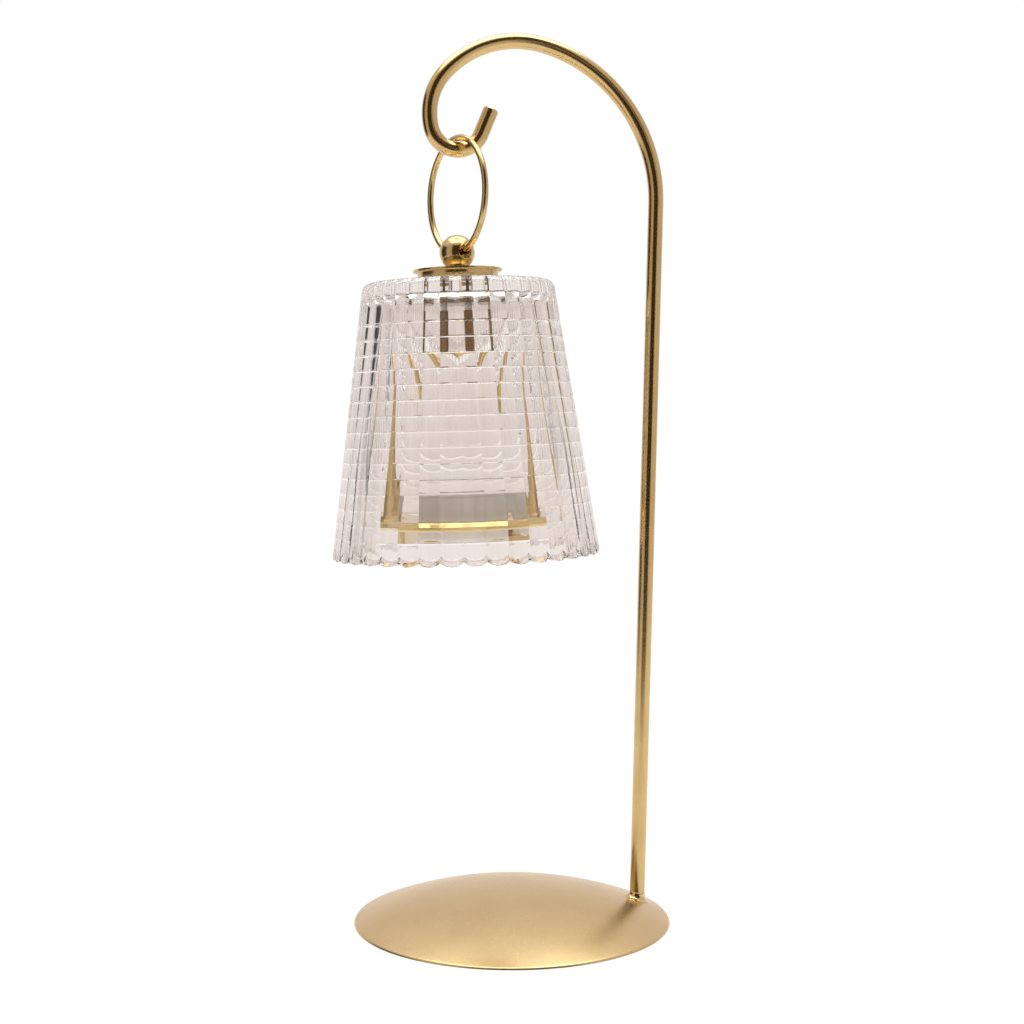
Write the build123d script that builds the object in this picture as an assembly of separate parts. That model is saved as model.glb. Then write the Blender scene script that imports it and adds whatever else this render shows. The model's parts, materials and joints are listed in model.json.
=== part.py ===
from build123d import *
from math import asin, cos, pi, radians, sin, sqrt, tan
import os

# Hanging tealight table lamp: a bent rod stand whose crook carries a glass lantern on a ring.
# Millimetres, +Z up. The origin is on the table under the middle of the round base.
# The crook lies in the XZ plane: the stem rises at +X and the lantern hangs at -X.

# Base: a shallow dome pressed from sheet, with its edge ground flat where it meets the table
BASE_R = 55.0
DOME_RISE = 10.8
SHEET = 1.2
EDGE_H = 0.6
EDGE_ROUND = 0.4

# Rod: a straight stem that leans slightly outwards, then tangent arcs round to the hook
ROD_D = 5.3
FOOT_INSET = 9.0
STEM_LEAN = 1.37
STEM_TOP = 249.9
CROOK_R = 52.7
CROOK_ANGLE = 78.6
SHOULDER_R = 35.5
SHOULDER_ANGLE = 61.3
NECK_R = 20.7
NECK_ANGLE = 55.1
HOOK_R = 9.1
HOOK_ANGLE = 143.5
TIP_L = 9.3
TIP_CHAMFER = 0.4
ROD_HOLE_GAP = 0.05

# Braze collar round the foot of the stem
BRAZE_TOP_T = 0.35
BRAZE_FOOT_T = 1.1
BRAZE_H = 2.8

# Ring
RING_R = 19.4
RING_WIRE_D = 2.2
HANG_GAP = 0.2
RING_TURN = 16.0

# Ball that the ring passes through
BALL_D = 12.0
BALL_BORE_D = 4.0
BALL_BORE_CHAMFER = 0.4
BALL_SEAT = 5.6
STUD_ENGAGE = 2.8

# The lantern hangs a little off plumb, its foot towards the stem
LANTERN_TILT = 1.7

# Cap on top of the glass
CAP_D = 30.4
CAP_T = 1.0
CAP_EDGE_ROUND = 0.35
BOSS_D = 27.4
BOSS_T = 2.4

# Clear grommet between cap and glass, with a collar in the glass's hole
GROMMET_D = 26.0
GROMMET_T = 1.0
COLLAR_L = 3.5
COLLAR_GAP = 0.2

# Glass shade: thick pressed glass, fluted outside, smooth inside, with a scalloped rim
GLASS_TOP_R = 32.5
GLASS_RIM_R = 45.9
GLASS_H = 93.0
GLASS_WALL = 4.2
GLASS_TOP_T = 5.0
GLASS_CORNER_R = 3.2
GLASS_CAVITY_R = 5.0
GLASS_HOLE_D = 10.0
RIBS = 38
TOP_RIB_RISE = 1.2
RIM_RIB_RISE = 0.55
RIB_TURN = 5.1
SHOULDER_MARGIN = 0.02
SCALLOP_H = 1.5
SCALLOP_FLAT = 0.8

# Stud, gasket, washer and nut that clamp the glass
STUD_D = 3.0
THREAD_GAP = 0.03
STUD_CLEARANCE = 0.12
GASKET_D = 23.0
GASKET_T = 0.8
WASHER_D = 24.0
WASHER_T = 1.2
NUT_ACROSS_FLATS = 5.5
NUT_T = 2.4

# Drop tube and the wire bail below it
TUBE_D = 7.5
TUBE_L = 13.6
TUBE_THREAD_L = 8.0
STUD_IN_TUBE = 6.0
TUBE_RELIEF_D = 4.0
TUBE_RELIEF_GAP = 1.0
BAIL_WIRE_D = 2.4
BAIL_TOP_HALF = 21.0
BAIL_FOOT_HALF = 26.6
BAIL_CORNER_R = 17.0
BAIL_DROP = 55.9
BAIL_BEAD_D = 3.8
BAIL_BEAD_H = 1.6
BAIL_BEAD_LIP = 0.3

# Candle plate: a flat ring with a rolled outer edge, and the strap under its hole
PLATE_R = 30.0
PLATE_T = 0.8
PLATE_ROLL_D = 3.0
PLATE_HOLE_GAP = 0.6
STRAP_W = 8.0
STRAP_T = 1.0
STRAP_DROP = 6.0
STRAP_REACH = 25.0

# Tealight
TEALIGHT_D = 38.0
TEALIGHT_H = 15.0
CUP_WALL = 0.35
CUP_ROLL_D = 1.0
WAX_GAP = 1.6
WAX_CLEARANCE = 0.02
TAB_D = 12.0
TAB_T = 0.4
TAB_NECK_D = 3.2
TAB_NECK_H = 3.0
WICK_D = 1.6
WICK_STANDOUT = 7.0

# How far a cutting solid passes the face that it cuts
OVERRUN = 1.0

# Worked-out sizes
UPWARDS = (Align.CENTER, Align.CENTER, Align.MIN)
DOWNWARDS = (Align.CENTER, Align.CENTER, Align.MAX)
ROD_R = ROD_D / 2
FOOT_X = BASE_R - FOOT_INSET
RING_WIRE_R = RING_WIRE_D / 2
RING_INNER_R = RING_R - RING_WIRE_R
BALL_R = BALL_D / 2
BORE_R = BALL_BORE_D / 2
DOME_SPHERE_R = (BASE_R**2 + DOME_RISE**2) / (2 * DOME_RISE)
DOME_CENTRE_Z = EDGE_H + DOME_RISE - DOME_SPHERE_R


def dome_height(radius, inset=0.0):
    """Height of the dome's upper surface, or of the surface that lies inset below it."""
    return DOME_CENTRE_Z + sqrt((DOME_SPHERE_R - inset) ** 2 - radius**2)


# Heights down the lantern, counted from the middle of the ball, which is also its pivot
CAP_TOP = -BALL_SEAT
CAP_UNDER = CAP_TOP - CAP_T
BOSS_UNDER = CAP_UNDER - BOSS_T
GLASS_TOP = BOSS_UNDER - GROMMET_T
GLASS_UNDER = GLASS_TOP - GLASS_TOP_T
GLASS_RIM = GLASS_TOP - GLASS_H
GASKET_UNDER = GLASS_UNDER - GASKET_T
WASHER_UNDER = GASKET_UNDER - WASHER_T
NUT_UNDER = WASHER_UNDER - NUT_T
TUBE_UNDER = NUT_UNDER - TUBE_L
BAIL_TOP = TUBE_UNDER - BAIL_WIRE_D / 2
PLATE_TOP = BAIL_TOP - BAIL_DROP
PLATE_UNDER = PLATE_TOP - PLATE_T
STRAP_TOP = PLATE_UNDER - STRAP_DROP
TEALIGHT_TOP = STRAP_TOP + TEALIGHT_H
GLASS_SLOPE = (GLASS_RIM_R - GLASS_TOP_R) / GLASS_H
PLATE_HOLE_R = TEALIGHT_D / 2 + PLATE_HOLE_GAP


def glass_radius(height):
    """Outer radius of the glass over its ribs at a height below the pivot."""
    return GLASS_TOP_R + (GLASS_TOP - height) * GLASS_SLOPE


def rod_path():
    """Centre line of the rod in the XZ plane, from the underside of the dome to the hook's tip."""
    lean = tan(radians(STEM_LEAN))
    foot_z = dome_height(FOOT_X, SHEET)
    stem = Line((FOOT_X + foot_z * lean, foot_z), (FOOT_X + STEM_TOP * lean, STEM_TOP))
    crook = JernArc(stem @ 1, stem % 1, CROOK_R, CROOK_ANGLE)
    shoulder = JernArc(crook @ 1, crook % 1, SHOULDER_R, SHOULDER_ANGLE)
    neck = JernArc(shoulder @ 1, shoulder % 1, NECK_R, NECK_ANGLE)
    hook = JernArc(neck @ 1, neck % 1, HOOK_R, HOOK_ANGLE)
    tip = Line(hook @ 1, hook @ 1 + (hook % 1) * TIP_L)
    return [stem, crook, shoulder, neck, hook, tip]


def hook_low_point():
    """Place of the rod's centre line at the bottom of the hook, where the ring hangs."""
    hook = rod_path()[4]
    centre = hook.arc_center
    return centre.X, centre.Y - HOOK_R


HOOK_X, HOOK_Z = hook_low_point()
RING_Z = HOOK_Z + ROD_R + HANG_GAP - RING_INNER_R

# The ball's bore rests on the ring where the wire leaves the bore, because the ring curves up there
BORE_HALF_L = sqrt(BALL_R**2 - BORE_R**2)
PIVOT_Z = RING_Z - sqrt(RING_INNER_R**2 - BORE_HALF_L**2) - BORE_R + HANG_GAP
LANTERN_PLACE = Pos(HOOK_X, 0, PIVOT_Z) * Rot(0, -LANTERN_TILT, 0)


def disc(radius, bottom, top, bore=0.0):
    """Round plate on the Z axis between two heights, with an optional bore."""
    solid = Pos(0, 0, bottom) * Cylinder(radius, top - bottom, align=UPWARDS)
    if bore > 0:
        solid -= Pos(0, 0, bottom) * Cylinder(bore, top - bottom, align=UPWARDS)
    return solid


def turned(points):
    """Solid turned round the Z axis from an outline of (radius, height) points."""
    return revolve(Plane.XZ * make_face(Polyline(*points, close=True)), Axis.Z)


def stem_cylinder(radius, bottom, top):
    """Cylinder on the stem's leaning axis between two heights above the table."""
    lean = tan(radians(STEM_LEAN))
    start = Vector(FOOT_X + bottom * lean, 0, bottom)
    end = Vector(FOOT_X + top * lean, 0, top)
    place = Plane(origin=start, z_dir=end - start)
    return extrude(place * Circle(radius), (end - start).length)


def base_dome():
    """Pressed dome: two spherical faces and a flat ring to stand on, with the stem's hole."""
    inner_r = sqrt((DOME_SPHERE_R - SHEET) ** 2 - DOME_CENTRE_Z**2)
    half_r = BASE_R / 2
    crown_under = (0, dome_height(0, SHEET))
    half_under = (half_r, dome_height(half_r, SHEET))
    crown = Line(crown_under, (0, dome_height(0)))
    upper = ThreePointArc((0, dome_height(0)), (half_r, dome_height(half_r)), (BASE_R, EDGE_H))
    edge = Polyline((BASE_R, EDGE_H), (BASE_R, 0), (inner_r, 0))
    lower = ThreePointArc((inner_r, 0), half_under, crown_under)
    section = make_face(crown + upper + edge + lower)
    section = fillet(section.vertices().sort_by_distance((BASE_R, EDGE_H))[0], EDGE_ROUND)
    dome = revolve(Plane.XZ * section, Axis.Z)
    return dome - stem_cylinder(ROD_R + ROD_HOLE_GAP, -OVERRUN, DOME_RISE)


def crook_rod():
    """The whole rod: one circle swept along the stem, the crook and the hook."""
    lines = [Plane.XZ * edge for edge in rod_path()]
    path = Wire([line.edge() for line in lines])
    section = Plane(origin=path @ 0, z_dir=path % 0) * Circle(ROD_R)
    rod = sweep(section, path=path)
    return chamfer(rod.edges().filter_by(GeomType.CIRCLE).sort_by_distance(path @ 1)[0], TIP_CHAMFER)


def foot_braze():
    """Braze collar round the stem, seated on the dome's curve."""
    foot_z = dome_height(FOOT_X)
    lean = tan(radians(STEM_LEAN))
    place = Plane(origin=(FOOT_X + foot_z * lean, 0, foot_z), z_dir=(lean, 0, 1))
    depth = 2 * BRAZE_H
    growth = (BRAZE_FOOT_T - BRAZE_TOP_T) / BRAZE_H
    cone = Cone(
        ROD_R + BRAZE_FOOT_T + growth * depth,
        ROD_R + BRAZE_TOP_T,
        BRAZE_H + depth,
        align=DOWNWARDS,
    )
    collar = place * Pos(0, 0, BRAZE_H) * cone
    below = Pos(0, 0, DOME_CENTRE_Z) * Sphere(DOME_SPHERE_R)
    return collar - below - stem_cylinder(ROD_R, -depth, STEM_TOP / 2)


def hanging_ring():
    """Closed wire ring that hangs in the hook, turned a little from square to the crook's plane."""
    return Pos(HOOK_X, 0, RING_Z) * Rot(0, 0, RING_TURN) * Rot(0, 90, 0) * Torus(RING_R, RING_WIRE_R)


def drilled_ball():
    """Ball with a flat seat, a tapped hole up from it and a bore that faces as the ring does."""
    ball = Sphere(BALL_R) - disc(BALL_R, -BALL_D, -BALL_SEAT)
    bore = Rot(90, 0, 0) * Cylinder(BORE_R, 2 * BALL_D)
    ball -= bore
    mouth_depth = BORE_HALF_L - BALL_BORE_CHAMFER
    for side in (-90, 90):
        flare = Cone(BORE_R, BORE_R + 2 * BALL_BORE_CHAMFER, 2 * BALL_BORE_CHAMFER, align=UPWARDS)
        ball -= Rot(side, 0, 0) * Pos(0, 0, mouth_depth) * flare
    ball -= disc(STUD_D / 2 + THREAD_GAP, -BALL_D, -BALL_SEAT + STUD_ENGAGE)
    return Rot(0, 0, RING_TURN) * ball


def cap_disc():
    """Round cap with a lower boss, drilled for the stud."""
    cap = disc(CAP_D / 2, CAP_UNDER, CAP_TOP)
    cap = fillet(cap.edges().filter_by(GeomType.CIRCLE), CAP_EDGE_ROUND)
    cap += disc(BOSS_D / 2, BOSS_UNDER, CAP_UNDER)
    return cap - disc(STUD_D / 2 + STUD_CLEARANCE, BOSS_UNDER, CAP_TOP)


def cap_grommet():
    """Clear grommet: a flange under the cap and a collar inside the glass's hole."""
    grommet = disc(GROMMET_D / 2, GLASS_TOP, BOSS_UNDER)
    grommet += disc(GLASS_HOLE_D / 2 - COLLAR_GAP, GLASS_TOP - COLLAR_L, GLASS_TOP)
    return grommet - disc(STUD_D / 2 + STUD_CLEARANCE, GLASS_TOP - COLLAR_L, BOSS_UNDER)


def threaded_stud():
    """Stud from the ball down through the cap and the glass into the drop tube."""
    return disc(STUD_D / 2, NUT_UNDER - STUD_IN_TUBE, -BALL_SEAT + STUD_ENGAGE)


def fluted_face(radius, height, rise):
    """Horizontal section of the fluted outside: one outward arc for each rib."""
    step = 2 * pi / RIBS
    turn = radians(RIB_TURN)
    valley = radius - rise
    arcs = []
    for number in range(RIBS):
        angles = [turn + (number + part) * step for part in (-0.5, 0, 0.5)]
        radii = [valley, radius, valley]
        points = [(r * cos(a), r * sin(a), height) for r, a in zip(radii, angles)]
        arcs.append(ThreePointArc(*points))
    return make_face(Wire([arc.edge() for arc in arcs]))


def scallop_notch(number):
    """Pointed gap between two lobes of the rim, with the lobes' curves as its flanks."""
    pitch = 2 * pi * GLASS_RIM_R / RIBS
    half = (pitch - SCALLOP_FLAT) / 2
    low = GLASS_RIM - OVERRUN
    flank = GLASS_RIM + SCALLOP_H / 4
    peak = (0, GLASS_RIM + SCALLOP_H)
    left = ThreePointArc((-half, GLASS_RIM), (-half / 2, flank), peak)
    right = ThreePointArc(peak, (half / 2, flank), (half, GLASS_RIM))
    under = Polyline((half, GLASS_RIM), (half, low), (-half, low), (-half, GLASS_RIM))
    face = Plane.XZ * make_face(left + right + under)
    start = GLASS_RIM_R - GLASS_WALL - RIM_RIB_RISE - OVERRUN
    bar = extrude(face, GLASS_RIM_R + OVERRUN - start)
    turn = RIB_TURN + (number + 0.5) * 360 / RIBS
    return Rot(0, 0, turn + 90) * Pos(0, -start, 0) * bar


def glass_shade():
    """Fluted shade with rounded shoulders, a smooth cavity, a drilled top and a scalloped rim."""
    low_r = glass_radius(GLASS_RIM)
    sections = [
        fluted_face(low_r, GLASS_RIM, RIM_RIB_RISE),
        fluted_face(GLASS_TOP_R, GLASS_TOP, TOP_RIB_RISE),
    ]
    outside = loft(sections, ruled=True)
    shoulder = turned(
        [
            (0, GLASS_RIM),
            (low_r + OVERRUN, GLASS_RIM),
            (GLASS_TOP_R + SHOULDER_MARGIN, GLASS_TOP),
            (0, GLASS_TOP),
        ]
    )
    top_edge = shoulder.edges().filter_by(GeomType.CIRCLE).sort_by(Axis.Z)[-1]
    outside = outside & fillet(top_edge, GLASS_CORNER_R)
    wall = GLASS_WALL / cos(asin(GLASS_SLOPE))
    mouth = GLASS_RIM - OVERRUN
    cavity = turned(
        [
            (0, mouth),
            (glass_radius(mouth) - wall, mouth),
            (glass_radius(GLASS_UNDER) - wall, GLASS_UNDER),
            (0, GLASS_UNDER),
        ]
    )
    cavity = fillet(cavity.edges().filter_by(GeomType.CIRCLE).sort_by(Axis.Z)[-1], GLASS_CAVITY_R)
    glass = outside - cavity - disc(GLASS_HOLE_D / 2, GLASS_UNDER - OVERRUN, GLASS_TOP + OVERRUN)
    return glass - [scallop_notch(number) for number in range(RIBS)]


def inner_gasket():
    """Soft washer between the glass and the metal washer."""
    return disc(GASKET_D / 2, GASKET_UNDER, GLASS_UNDER, GLASS_HOLE_D / 2)


def inner_washer():
    """Metal washer under the gasket."""
    return disc(WASHER_D / 2, WASHER_UNDER, GASKET_UNDER, STUD_D / 2 + STUD_CLEARANCE)


def inner_nut():
    """Hexagon nut that clamps the stack."""
    hexagon = Pos(0, 0, NUT_UNDER) * RegularPolygon(NUT_ACROSS_FLATS / 2, 6, major_radius=False)
    return extrude(hexagon, NUT_T) - disc(STUD_D / 2 + THREAD_GAP, NUT_UNDER, WASHER_UNDER)


def drop_tube():
    """Tube that screws on the stud and carries the bail at its closed lower end."""
    tube = disc(TUBE_D / 2, TUBE_UNDER, NUT_UNDER)
    tube -= disc(STUD_D / 2 + THREAD_GAP, NUT_UNDER - TUBE_THREAD_L, NUT_UNDER)
    relief_top = NUT_UNDER - STUD_IN_TUBE - TUBE_RELIEF_GAP
    tube -= disc(TUBE_RELIEF_D / 2, NUT_UNDER - TUBE_THREAD_L - TUBE_RELIEF_GAP, relief_top)
    saddle = Pos(0, 0, BAIL_TOP) * Rot(0, 90, 0) * Cylinder(BAIL_WIRE_D / 2, 2 * TUBE_D)
    return tube - saddle


def bail_wire():
    """Wire arch: a flat top in the tube's saddle and two legs down to the candle plate."""
    foot = PLATE_TOP
    outline = Plane.XZ * FilletPolyline(
        (-BAIL_FOOT_HALF, foot),
        (-BAIL_TOP_HALF, BAIL_TOP),
        (BAIL_TOP_HALF, BAIL_TOP),
        (BAIL_FOOT_HALF, foot),
        radius=BAIL_CORNER_R,
    )
    path = outline.wire()
    section = Plane(origin=path @ 0, z_dir=path % 0) * Circle(BAIL_WIRE_D / 2)
    arch = sweep(section, path=path)
    return arch - disc(PLATE_R, PLATE_TOP - BAIL_WIRE_D, PLATE_TOP)


def bail_beads():
    """Solder beads that hold the two feet of the bail on the plate."""
    beads = []
    for side in (-1, 1):
        bead = Cone(BAIL_BEAD_D / 2, BAIL_WIRE_D / 2 + BAIL_BEAD_LIP, BAIL_BEAD_H, align=UPWARDS)
        beads.append(Pos(side * BAIL_FOOT_HALF, 0, PLATE_TOP) * bead - bail_wire())
    return beads


def candle_plate():
    """Flat ring with a rolled edge round the tealight."""
    roll_r = PLATE_ROLL_D / 2
    plate = disc(PLATE_R - roll_r, PLATE_UNDER, PLATE_TOP, PLATE_HOLE_R)
    return plate + Pos(0, 0, PLATE_TOP - roll_r) * Torus(PLATE_R - roll_r, roll_r)


def cradle_strap():
    """Strap under the plate's hole that the tealight stands on, with its ends on the plate."""
    bend = PLATE_HOLE_R + STRAP_T
    outline = [
        (-STRAP_REACH, PLATE_UNDER),
        (-bend + STRAP_T, PLATE_UNDER),
        (-bend + STRAP_T, STRAP_TOP),
        (bend - STRAP_T, STRAP_TOP),
        (bend - STRAP_T, PLATE_UNDER),
        (STRAP_REACH, PLATE_UNDER),
        (STRAP_REACH, PLATE_UNDER - STRAP_T),
        (bend, PLATE_UNDER - STRAP_T),
        (bend, STRAP_TOP - STRAP_T),
        (-bend, STRAP_TOP - STRAP_T),
        (-bend, PLATE_UNDER - STRAP_T),
        (-STRAP_REACH, PLATE_UNDER - STRAP_T),
    ]
    face = Plane.XZ * make_face(Polyline(*outline, close=True))
    return extrude(face, STRAP_W / 2, both=True)


def tealight_cup():
    """Thin drawn cup with a rolled rim."""
    radius = TEALIGHT_D / 2 - CUP_ROLL_D / 2
    cup = disc(radius, STRAP_TOP, TEALIGHT_TOP - CUP_ROLL_D / 2)
    cup = fillet(cup.edges().filter_by(GeomType.CIRCLE).sort_by(Axis.Z)[0], 2 * CUP_WALL)
    cup += Pos(0, 0, TEALIGHT_TOP - CUP_ROLL_D / 2) * Torus(radius, CUP_ROLL_D / 2)
    return cup - disc(radius - CUP_WALL, STRAP_TOP + CUP_WALL, TEALIGHT_TOP)


def wick_tab():
    """Flat metal foot of the wick with its neck."""
    floor = STRAP_TOP + CUP_WALL
    tab = disc(TAB_D / 2, floor, floor + TAB_T) + disc(TAB_NECK_D / 2, floor + TAB_T, floor + TAB_NECK_H)
    return tab - disc(WICK_D / 2, floor + TAB_T, floor + TAB_NECK_H)


def wick():
    """Cotton wick from its foot to just above the wax."""
    floor = STRAP_TOP + CUP_WALL + TAB_T
    return disc(WICK_D / 2, floor, TEALIGHT_TOP - WAX_GAP + WICK_STANDOUT)


def tealight_wax():
    """Wax fill round the wick and its foot."""
    floor = STRAP_TOP + CUP_WALL
    radius = TEALIGHT_D / 2 - CUP_ROLL_D / 2 - CUP_WALL - WAX_CLEARANCE
    wax = disc(radius, floor, TEALIGHT_TOP - WAX_GAP)
    wax -= disc(TAB_D / 2, floor, floor + TAB_T)
    wax -= disc(TAB_NECK_D / 2, floor + TAB_T, floor + TAB_NECK_H)
    return wax - disc(WICK_D / 2, floor + TAB_NECK_H, TEALIGHT_TOP)


def main():
    standing = {
        "base_dome": base_dome(),
        "crook_rod": crook_rod(),
        "foot_braze": foot_braze(),
        "hanging_ring": hanging_ring(),
    }
    lantern = {
        "drilled_ball": drilled_ball(),
        "cap_disc": cap_disc(),
        "cap_grommet": cap_grommet(),
        "threaded_stud": threaded_stud(),
        "glass_shade": glass_shade(),
        "inner_gasket": inner_gasket(),
        "inner_washer": inner_washer(),
        "inner_nut": inner_nut(),
        "drop_tube": drop_tube(),
        "bail_wire": bail_wire(),
        "bail_beads": Compound(children=bail_beads()),
        "candle_plate": candle_plate(),
        "cradle_strap": cradle_strap(),
        "tealight_cup": tealight_cup(),
        "wick_tab": wick_tab(),
        "wick": wick(),
        "tealight_wax": tealight_wax(),
    }
    os.makedirs("parts", exist_ok=True)
    for name, solid in standing.items():
        export_step(solid, f"parts/{name}.step")
    for name, solid in lantern.items():
        export_step(LANTERN_PLACE * solid, f"parts/{name}.step")
    print("hook", round(HOOK_X, 3), round(HOOK_Z, 3), "pivot", round(PIVOT_Z, 3))


main()
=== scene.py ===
import json
import math

import bmesh
import bpy
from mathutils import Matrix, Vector


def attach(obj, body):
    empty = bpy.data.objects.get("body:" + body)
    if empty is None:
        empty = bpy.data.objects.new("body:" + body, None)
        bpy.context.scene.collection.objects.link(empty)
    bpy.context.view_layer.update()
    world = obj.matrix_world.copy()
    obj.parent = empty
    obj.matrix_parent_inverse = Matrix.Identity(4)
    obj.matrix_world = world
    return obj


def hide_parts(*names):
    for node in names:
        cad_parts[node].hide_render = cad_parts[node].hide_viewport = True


# Hanging tealight table lamp: satin gold stand, fluted clear glass lantern, tealight.
# Metres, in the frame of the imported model: +Z up, origin under the base's middle.

MM = 0.001
MICRON = 0.001 * MM

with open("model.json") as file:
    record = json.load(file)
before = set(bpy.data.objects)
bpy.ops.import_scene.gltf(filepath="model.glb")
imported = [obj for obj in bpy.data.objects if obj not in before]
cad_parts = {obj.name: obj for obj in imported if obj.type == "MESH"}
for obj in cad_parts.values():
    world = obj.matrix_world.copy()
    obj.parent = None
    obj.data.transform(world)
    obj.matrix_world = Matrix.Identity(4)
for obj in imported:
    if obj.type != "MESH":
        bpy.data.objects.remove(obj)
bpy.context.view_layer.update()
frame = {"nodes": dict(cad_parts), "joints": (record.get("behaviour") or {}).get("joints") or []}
NODES = frame["nodes"]
JOINTS = {joint["name"]: joint for joint in frame["joints"]}

# Camera, as fitted to the photograph; lens and sensor in millimetres
LENS = 58.70
SENSOR_W = 36
CAMERA_DISTANCE = 576.33 * MM
CAMERA_HEIGHT = 173.86 * MM
CAMERA_TURN = math.radians(14.5)
CAMERA_PITCH = math.radians(3.09)

# Base and rod, as in part.py; the crook's turns are a radius in millimetres and degrees
BASE_R = 55.0 * MM
DOME_RISE = 10.8 * MM
SPHERE_R = (BASE_R**2 + DOME_RISE**2) / (2 * DOME_RISE)
SHEET = 1.2 * MM
EDGE_H = 0.6 * MM
EDGE_R = 1.15 * MM
EDGE_INSET = 1.136 * MM
EDGE_DROP = 0.181 * MM
ROD_R = 2.65 * MM
FOOT_X = 46.0 * MM
STEM_LEAN = math.radians(1.37)
STEM_TOP = 249.9 * MM
CROOK_TURNS = ((52.7, 78.6), (35.5, 61.3), (20.7, 55.1), (9.1, 143.5))
TIP_L = 9.3 * MM
TIP_CHAMFER = 0.4 * MM

# Foot's braze in millimetres: its flare, out from the rod and up from the dome; the heights between
# which it stops following the dome's slope; and its beads, each with its place to the camera's right
# and away from it, and its radius. A bead's middle stands a share of its radius above the dome.
BRAZE_TOP = 2.6
BRAZE_SINK = 0.4
BRAZE_FLARE = (
    (0.06, 2.58), (0.13, 2.45), (0.18, 2.0), (0.28, 1.45),
    (0.5, 0.85), (0.9, 0.38), (1.5, 0.06), (1.7, -0.04),
)
SADDLE_FADE = (0.96, 3.36)
BRAZE_BEADS = ((-0.7, -5.0, 0.95), (-1.6, -7.4, 0.5))
BEAD_LIFT = 0.3

# Lantern: its pieces are modelled upright about the ball's middle, then tilted and hung there
PIVOT = Vector(JOINTS["lantern_swing"]["pos_m"])
LIFT_AXIS = Vector(JOINTS["tealight_lift"]["axis"])
LANTERN_TILT = math.atan2(LIFT_AXIS.x, LIFT_AXIS.z)

# Ring, ball, cap, bail and plate, with heights counted from the ball's middle
RING_R = 19.4 * MM
RING_WIRE_R = 1.1 * MM
RING_SLACK = 0.2 * MM
RING_TURN = 16.0
BALL_R = 6.0 * MM
BORE_R = 2.0 * MM
BORE_BREAK = 0.45 * MM
CAP_TOP = -5.6 * MM
BAIL_TOP = -34.2 * MM
BAIL_HALF_TOP = 21.0 * MM
BAIL_FOOT_X = 26.6 * MM
BAIL_CORNER_R = 17.0 * MM
BAIL_WIRE_R = 1.2 * MM
PLATE_TOP = -90.1 * MM

# Threaded stud, tealight and wick, in millimetres, with heights counted from the ball's middle
STUD_TOP = -2.8
STUD_FOOT = -25.4
STUD_R = 1.5
THREAD_ROOT_R = 1.27
THREAD_PITCH = 0.5
CUP_FLOOR = -96.9
CUP_TOP = -81.9
CUP_R = 18.5
WAX_UNDER_TOP = 1.6
WICK_R = 0.8
WICK_TURNS = 46
WICK_PITCH = 0.42

# Glass shade, with heights counted from the ball's middle; smoothing and turn in degrees. Flutes and
# grooves grow fainter between two shares of the way down. Only what lies more than RIB_ZONE outside
# the inner wall is fluted.
GLASS_TOP = -10.03 * MM
GLASS_UNDER = -14.97 * MM
GLASS_RIM = -103.0 * MM
GLASS_TOP_R = 32.5 * MM
GLASS_RIM_R = 45.9 * MM
GLASS_WALL = 4.2 * MM
GLASS_RIM_BREAKS = (0.3 * MM, 0.4 * MM)
GLASS_SHOULDER_R = 3.2 * MM
GLASS_CAVITY_R = 5.0 * MM
GLASS_HOLE_R = 5.0 * MM
GLASS_SMOOTH = 12
RIBS = 38
RIB_TURN = 5.1
RIB_STEPS = 12
TOP_RIB_DEPTH = 0.8 * MM
RIM_RIB_DEPTH = 0.34 * MM
RIBS_FADE = (0.3, 0.8)
RIB_ZONE = 1.3 * MM
GROOVES = 15
GROOVE_FIRST = -24.55 * MM
GROOVE_PITCH = 5.066 * MM
GROOVE_HALF_W = 0.36 * MM
GROOVE_DEPTH = 0.18 * MM
GROOVES_FADE = (0.35, 0.9)
GROOVES_LEFT = 0.15
PILLOW = 0.07 * MM
SCALLOP_H = 1.5 * MM
SCALLOP_ROUND = 0.92

# Studio: a softbox overhead, a white table, and a pale tent with patches. A patch is given by degrees
# to the right of the camera's own direction, degrees up, and colour. Rays that glass has just bent see
# the door and none of the other gaps; all other rays see the gaps and not the door.
SOFTBOX_PLACE = (0.0, 0.12, 1.33)
SOFTBOX_SIZE = (1.35, 1.2)
SOFTBOX_GLOW = 2.35
TABLE_SIZE = (2.4, 1.9, 1)
TABLE_PLACE = (0.45, 0.5, 0)
TABLE_GLOW = 1.08
TABLE_GLOW_SHARE = 0.85
TENT = "#E9DFDC"
SIDE_FADE = 2.5
CLIMB_FADE = 3
DOOR = "door_gap"
PATCHES = (
    ("low_wall", (-200, 200), (-100, -2), "#F7F0EC"),
    ("back_wall", (-200, 200), (14, 40), "#DDD0CA"),
    ("left_panel", (-72, -35), (-30, 60), "#C6BBB4"),
    ("right_wall", (33, 128), (-30, 50), "#D6CCC8"),
    ("high_gap", (10, 50), (11, 50), "#3E3018"),
    ("front_gap", (-34, 30), (-30, 48), "#3E3018"),
    ("left_gap", (-121, -72), (-30, 29), "#3A3A3A"),
    (DOOR, (-131, -95), (-30, 29), "#2C2C2C"),
)


def in_view(sideways, away, up):
    """A place given as metres to the camera's right, away from it and up, from the origin."""
    c, s = math.cos(CAMERA_TURN), math.sin(CAMERA_TURN)
    return Vector((sideways * c + away * s, -sideways * s + away * c, up))


def linear(code):
    """An sRGB hex colour as linear RGBA."""
    channels = [int(code[i : i + 2], 16) / 255 for i in (1, 3, 5)]
    return [c / 12.92 if c <= 0.04045 else ((c + 0.055) / 1.055) ** 2.4 for c in channels] + [1.0]


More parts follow.
